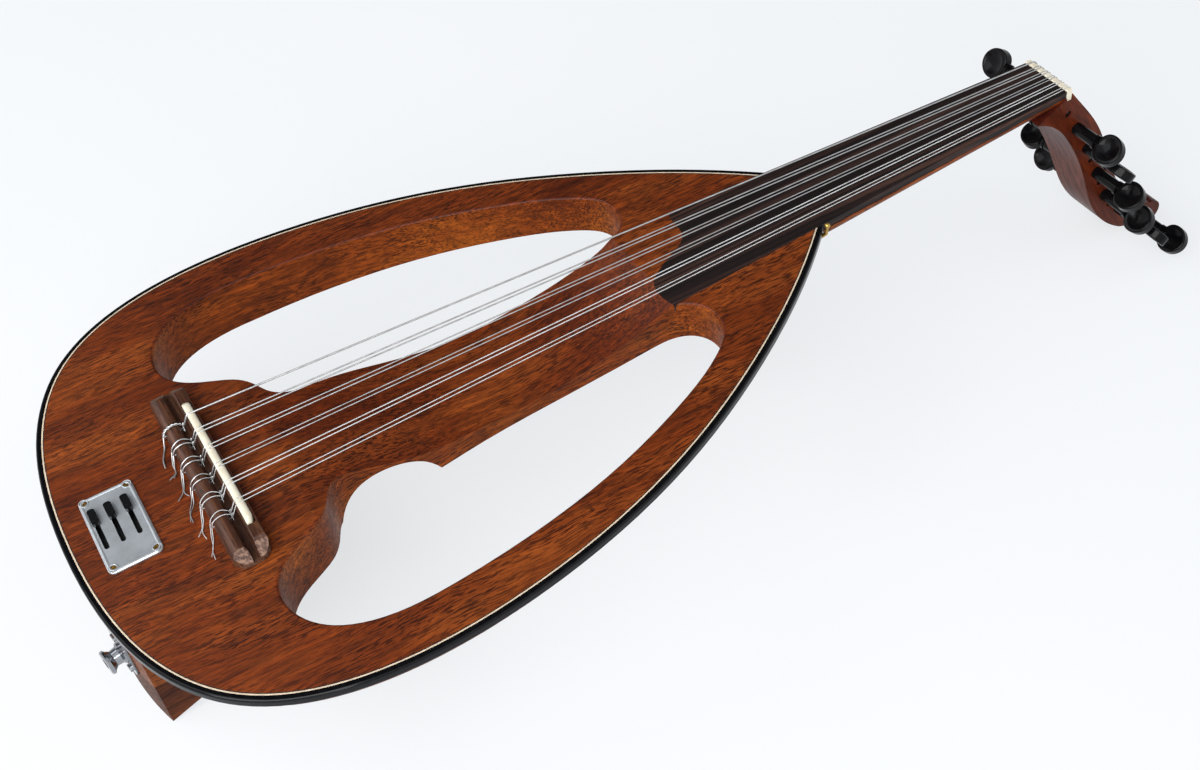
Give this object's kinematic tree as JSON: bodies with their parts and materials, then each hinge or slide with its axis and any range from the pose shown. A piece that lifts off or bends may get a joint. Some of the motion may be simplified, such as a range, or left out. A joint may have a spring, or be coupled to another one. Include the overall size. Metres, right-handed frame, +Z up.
{
  "type": "electric oud",
  "caption": "Open-frame electric oud: solid mahogany slab with two cut-outs, bent-back pegbox, side pegs, slider preamp plate and a standing leg.",
  "frame": {"origin": "middle of the bounding box, on the surface the instrument stands on", "axes": "+X from the tail towards the head, +Y towards the bass side, +Z up; the leg foot and the tip of the pegbox stand on Z = 0"},
  "size_m": [0.8456, 0.3674, 0.1734],
  "materials": {
    "body_wood": "satin lacquered mahogany",
    "pegbox_wood": "satin lacquered mahogany",
    "leg_light_wood": "satin lacquered",
    "leg_dark_wood": "satin lacquered",
    "binding_black": "polished",
    "purfling_cream": "flush inlay",
    "purfling_dark": "flush inlay",
    "ebony": "oiled",
    "bone": "polished bone",
    "rosewood": "oiled",
    "pickup_strip": "foil over a soft strip",
    "chrome": "mirror plated",
    "nickel": "plated",
    "brass": "polished",
    "board": "circuit board",
    "pot_case": "stamped case",
    "battery_case": "printed can",
    "snap_plastic": "moulded",
    "lid_plastic": "moulded",
    "lead_jacket": "extruded",
    "knob_plastic": "moulded with ridges",
    "peg_ebony": "polished",
    "wound_string": "silver-plated winding",
    "plain_string": "clear nylon"
  },
  "bodies": {
    "instrument": {"body_frame": "body_wood", "binding": "binding_black", "purfling_cream": "purfling_cream", "purfling_dark": "purfling_dark", "leg_upper": "leg_light_wood", "leg_foot": "leg_dark_wood", "fingerboard": "ebony", "neck": "body_wood", "nut": "bone", "pegbox": "pegbox_wood", "bridge": "rosewood", "saddle": "bone", "saddle_pickup": "pickup_strip", "preamp_plate": "chrome", "preamp_plate_screws": "brass", "preamp_board": "board", "slider_pots": "pot_case", "battery": "battery_case", "battery_snap": "snap_plastic", "battery_lid": "lid_plastic", "battery_lid_screws": "nickel", "jack_plate": "chrome", "jack_screws": "nickel", "strap_button": "chrome", "jack_barrel": "nickel", "pickup_lead": "lead_jacket", "battery_lead": "lead_jacket", "jack_lead": "lead_jacket", "neck_strap_pin": "brass", "string_01": "wound_string", "string_02": "wound_string", "string_03": "wound_string", "string_04": "wound_string", "string_05": "wound_string", "string_06": "wound_string", "string_07": "wound_string", "string_08": "plain_string", "string_09": "plain_string", "string_10": "plain_string", "string_11": "plain_string"},
    "peg_01": {"peg_01": "peg_ebony"},
    "peg_02": {"peg_02": "peg_ebony"},
    "peg_03": {"peg_03": "peg_ebony"},
    "peg_04": {"peg_04": "peg_ebony"},
    "peg_05": {"peg_05": "peg_ebony"},
    "peg_06": {"peg_06": "peg_ebony"},
    "peg_07": {"peg_07": "peg_ebony"},
    "peg_08": {"peg_08": "peg_ebony"},
    "peg_09": {"peg_09": "peg_ebony"},
    "peg_10": {"peg_10": "peg_ebony"},
    "peg_11": {"peg_11": "peg_ebony"},
    "slider_knob_volume": {"slider_knob_volume": "knob_plastic"},
    "slider_knob_treble_tone": {"slider_knob_treble_tone": "knob_plastic"},
    "slider_knob_bass_tone": {"slider_knob_bass_tone": "knob_plastic"}
  },
  "joints": [
    {"name": "peg_01_turn", "type": "hinge", "parent": "instrument", "child": "peg_01", "pos_m": [0.29118, 0, 0.15164], "axis": [0, 1, 0], "continuous": true},
    {"name": "peg_02_turn", "type": "hinge", "parent": "instrument", "child": "peg_02", "pos_m": [0.3026, 0, 0.13556], "axis": [0, -1, 0], "continuous": true},
    {"name": "peg_03_turn", "type": "hinge", "parent": "instrument", "child": "peg_03", "pos_m": [0.31116, 0, 0.12586], "axis": [0, 1, 0], "continuous": true},
    {"name": "peg_04_turn", "type": "hinge", "parent": "instrument", "child": "peg_04", "pos_m": [0.31908, 0, 0.11199], "axis": [0, -1, 0], "continuous": true},
    {"name": "peg_05_turn", "type": "hinge", "parent": "instrument", "child": "peg_05", "pos_m": [0.32745, 0, 0.09755], "axis": [0, 1, 0], "continuous": true},
    {"name": "peg_06_turn", "type": "hinge", "parent": "instrument", "child": "peg_06", "pos_m": [0.33606, 0, 0.08264], "axis": [0, -1, 0], "continuous": true},
    {"name": "peg_07_turn", "type": "hinge", "parent": "instrument", "child": "peg_07", "pos_m": [0.34368, 0, 0.06994], "axis": [0, 1, 0], "continuous": true},
    {"name": "peg_08_turn", "type": "hinge", "parent": "instrument", "child": "peg_08", "pos_m": [0.35227, 0, 0.05523], "axis": [0, -1, 0], "continuous": true},
    {"name": "peg_09_turn", "type": "hinge", "parent": "instrument", "child": "peg_09", "pos_m": [0.36181, 0, 0.0423], "axis": [0, 1, 0], "continuous": true},
    {"name": "peg_10_turn", "type": "hinge", "parent": "instrument", "child": "peg_10", "pos_m": [0.37313, 0, 0.03324], "axis": [0, -1, 0], "continuous": true},
    {"name": "peg_11_turn", "type": "hinge", "parent": "instrument", "child": "peg_11", "pos_m": [0.39605, 0, 0.01764], "axis": [0, -1, 0], "continuous": true},
    {"name": "slider_knob_volume_slide", "type": "slide", "parent": "instrument", "child": "slider_knob_volume", "axis": [0, 1, 0], "range_m": [-0.018, 0]},
    {"name": "slider_knob_treble_tone_slide", "type": "slide", "parent": "instrument", "child": "slider_knob_treble_tone", "axis": [0, 1, 0], "range_m": [-0.018, 0]},
    {"name": "slider_knob_bass_tone_slide", "type": "slide", "parent": "instrument", "child": "slider_knob_bass_tone", "axis": [0, 1, 0], "range_m": [-0.018, 0]}
  ]
}
